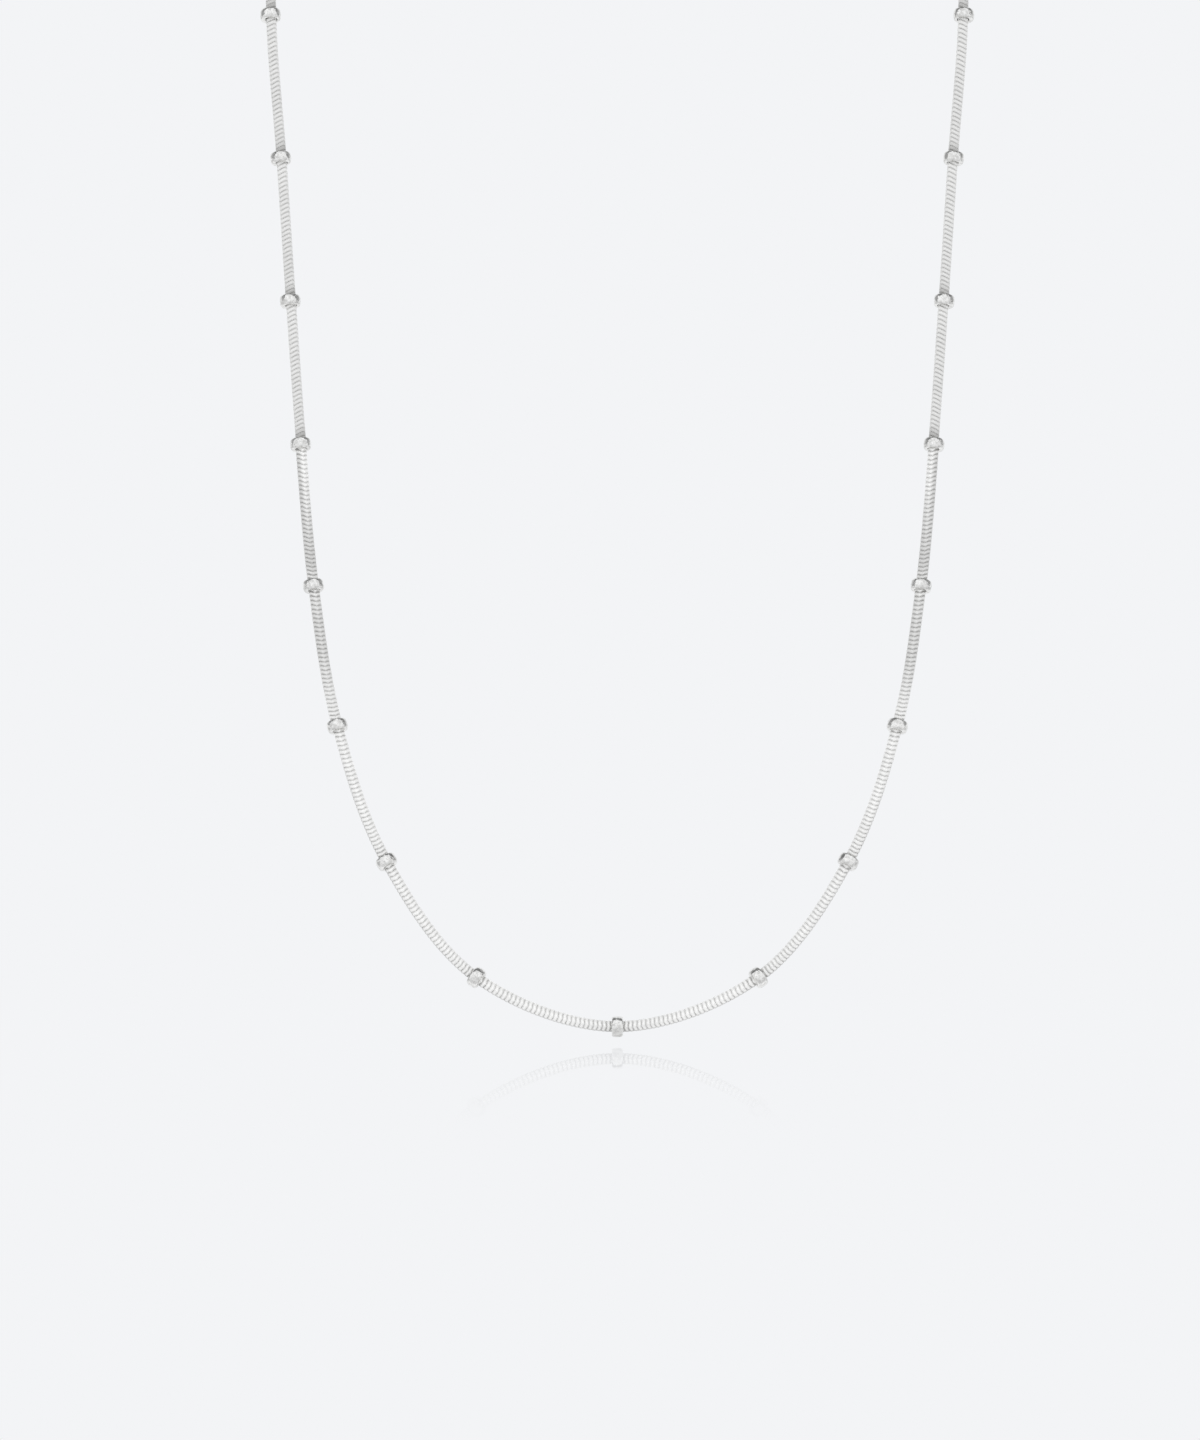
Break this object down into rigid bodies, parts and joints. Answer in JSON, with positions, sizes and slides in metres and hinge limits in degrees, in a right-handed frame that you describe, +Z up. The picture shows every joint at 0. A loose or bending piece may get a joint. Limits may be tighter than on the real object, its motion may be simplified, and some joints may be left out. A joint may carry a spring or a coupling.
{
  "type": "beaded square snake chain necklace",
  "caption": "Silver square snake chain necklace with small rondelle beads threaded at even steps, hanging in a long U and closed at the nape by a plain barrel clasp.",
  "frame": {"origin": "middle of the clasp, at the nape, where the worn or hung necklace is carried", "axes": "+Z up, -Y to the front, where the long U hangs, and +X to the right of someone who looks at the front"},
  "size_m": [0.0858, 0.0778, 0.1698],
  "materials": {
    "chain_silver": "bright polished silver plates with dark seams between them",
    "bead_silver": "mirror polished silver",
    "clasp_silver": "polished silver"
  },
  "bodies": {
    "root": {"chain_left": "chain_silver", "chain_right": "chain_silver", "clasp": "clasp_silver", "bead_bottom": "bead_silver", "bead_left_1": "bead_silver", "bead_left_2": "bead_silver", "bead_left_3": "bead_silver", "bead_left_4": "bead_silver", "bead_left_5": "bead_silver", "bead_left_6": "bead_silver", "bead_left_7": "bead_silver", "bead_left_8": "bead_silver", "bead_left_9": "bead_silver", "bead_left_10": "bead_silver", "bead_left_11": "bead_silver", "bead_left_12": "bead_silver", "bead_right_1": "bead_silver", "bead_right_2": "bead_silver", "bead_right_3": "bead_silver", "bead_right_4": "bead_silver", "bead_right_5": "bead_silver", "bead_right_6": "bead_silver", "bead_right_7": "bead_silver", "bead_right_8": "bead_silver", "bead_right_9": "bead_silver", "bead_right_10": "bead_silver", "bead_right_11": "bead_silver", "bead_right_12": "bead_silver"}
  },
  "joints": []
}
